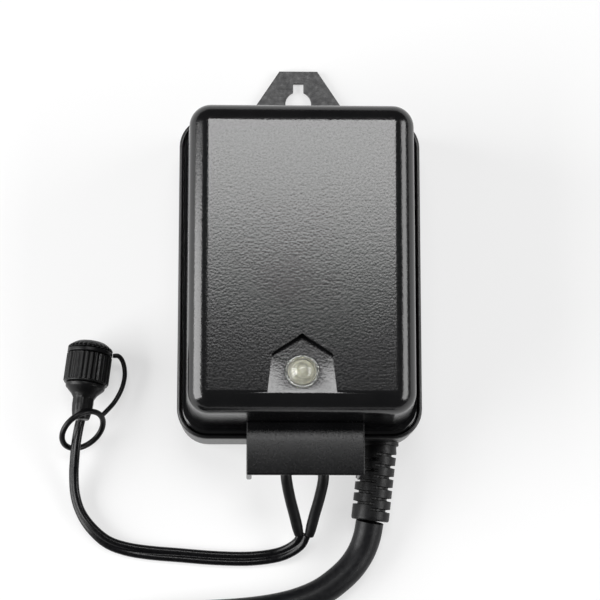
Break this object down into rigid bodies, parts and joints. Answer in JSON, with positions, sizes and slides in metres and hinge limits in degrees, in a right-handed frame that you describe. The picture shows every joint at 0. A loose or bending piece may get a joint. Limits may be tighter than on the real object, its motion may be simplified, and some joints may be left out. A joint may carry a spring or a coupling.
{
  "type": "low-voltage power box with light sensor",
  "caption": "Black outdoor power box on its back: hanging tab, house-shaped light sensor window, terminal hood with flat lead and capped connector, and a rubber mains cord with plug.",
  "frame": {"origin": "middle of the back of the case, half way between the tip of the hanging tab and the lip of the terminal hood, on the surface that it lies on", "axes": "+Z out of the front face, +Y towards the hanging tab, +X to the right seen from the front"},
  "size_m": [0.2155, 0.3533, 0.0639],
  "materials": {
    "case_plastic": "satin, fine moulded texture",
    "tray_plastic": "satin",
    "hood_plastic": "satin",
    "seal_rubber": "matte",
    "screw_steel": "zinc plated",
    "black_paint": "matte",
    "lens_clear": "clear, slightly milky",
    "spring_steel": "zinc plated",
    "cell_ceramic": "semi-gloss",
    "board_green": "solder mask",
    "relay_blue": "gloss",
    "capacitor_sleeve": "gloss",
    "resistor_tan": "lacquered",
    "lamination_steel": "varnished",
    "former_nylon": "natural",
    "copper_wire": "enamelled",
    "cutout_plastic": "satin",
    "wire_insulation": "satin",
    "brass": "plain",
    "tinned_copper": "tinned",
    "shrink_sleeve": "matte shrink",
    "lead_pvc": "satin",
    "connector_plastic": "satin",
    "grip_rubber": "satin",
    "cord_rubber": "matte",
    "tie_strap": "woven",
    "plug_rubber": "matte",
    "plug_metal": "nickel plated",
    "tether_rubber": "satin"
  },
  "bodies": {
    "case": {"front_cover": "case_plastic", "rear_tray": "tray_plastic", "case_gasket": "seal_rubber", "case_screws": "screw_steel", "hanger_plate": "black_paint", "hanger_screws": "screw_steel", "sensor_lens": "lens_clear", "lens_seal": "seal_rubber", "lens_clip": "spring_steel", "light_cell": "cell_ceramic", "sensor_board": "board_green", "relay": "relay_blue", "capacitor": "capacitor_sleeve", "board_parts": "resistor_tan", "board_screws": "screw_steel", "transformer_core": "lamination_steel", "winding_former": "former_nylon", "primary_winding": "copper_wire", "secondary_winding": "copper_wire", "transformer_saddle": "spring_steel", "transformer_screws": "screw_steel", "overload_cutout": "cutout_plastic", "mains_wires": "wire_insulation", "outlet_wires": "wire_insulation", "switch_wires": "wire_insulation", "terminal_block": "tray_plastic", "terminal_hood": "hood_plastic", "terminal_plates": "brass", "wire_lugs": "tinned_copper", "sleeve_left": "shrink_sleeve", "sleeve_right": "shrink_sleeve", "output_lead": "lead_pvc", "connector_body": "connector_plastic", "connector_contacts": "brass", "connector_seal": "seal_rubber", "cord_grip": "grip_rubber", "mains_cord_run": "cord_rubber", "mains_cord_coil": "cord_rubber", "mains_cord_tail": "cord_rubber", "cord_tie": "tie_strap", "plug_body": "plug_rubber", "plug_pins": "plug_metal", "plug_earth_clips": "plug_metal"},
    "washer_left": {"washer_left": "tinned_copper"},
    "screw_left": {"screw_left": "screw_steel"},
    "washer_right": {"washer_right": "tinned_copper"},
    "screw_right": {"screw_right": "screw_steel"},
    "cap_tether": {"cap_tether": "tether_rubber"},
    "dust_cap": {"dust_cap": "connector_plastic"}
  },
  "joints": [
    {"name": "washer_left_travel", "type": "slide", "parent": "case", "child": "washer_left", "axis": [0, -1, 0], "range_m": [0, 0.0028]},
    {"name": "screw_left_turn", "type": "hinge", "parent": "washer_left", "child": "screw_left", "pos_m": [-0.0052, -0.0718, 0.0322], "axis": [0, -1, 0], "range_deg": [0, 1440]},
    {"name": "washer_right_travel", "type": "slide", "parent": "case", "child": "washer_right", "axis": [0, -1, 0], "range_m": [0, 0.0028]},
    {"name": "screw_right_turn", "type": "hinge", "parent": "washer_right", "child": "screw_right", "pos_m": [0.0088, -0.0718, 0.0322], "axis": [0, -1, 0], "range_deg": [0, 1440]},
    {"name": "tether_travel", "type": "slide", "parent": "case", "child": "cap_tether", "axis": [0.1128, 0.9898, -0.0872], "range_m": [0, 0.0026]},
    {"name": "cap_turn", "type": "hinge", "parent": "cap_tether", "child": "dust_cap", "pos_m": [-0.0813, -0.0449, 0.0102], "axis": [0.1128, 0.9898, -0.0872], "range_deg": [0, 720]}
  ],
  "couplings": [
    {"joint": "screw_left_turn", "follows": "washer_left_travel", "rad_per_m": 8975.9},
    {"joint": "screw_right_turn", "follows": "washer_right_travel", "rad_per_m": 8975.9},
    {"joint": "tether_travel", "follows": "cap_turn", "m_per_rad": 0.00019894}
  ]
}
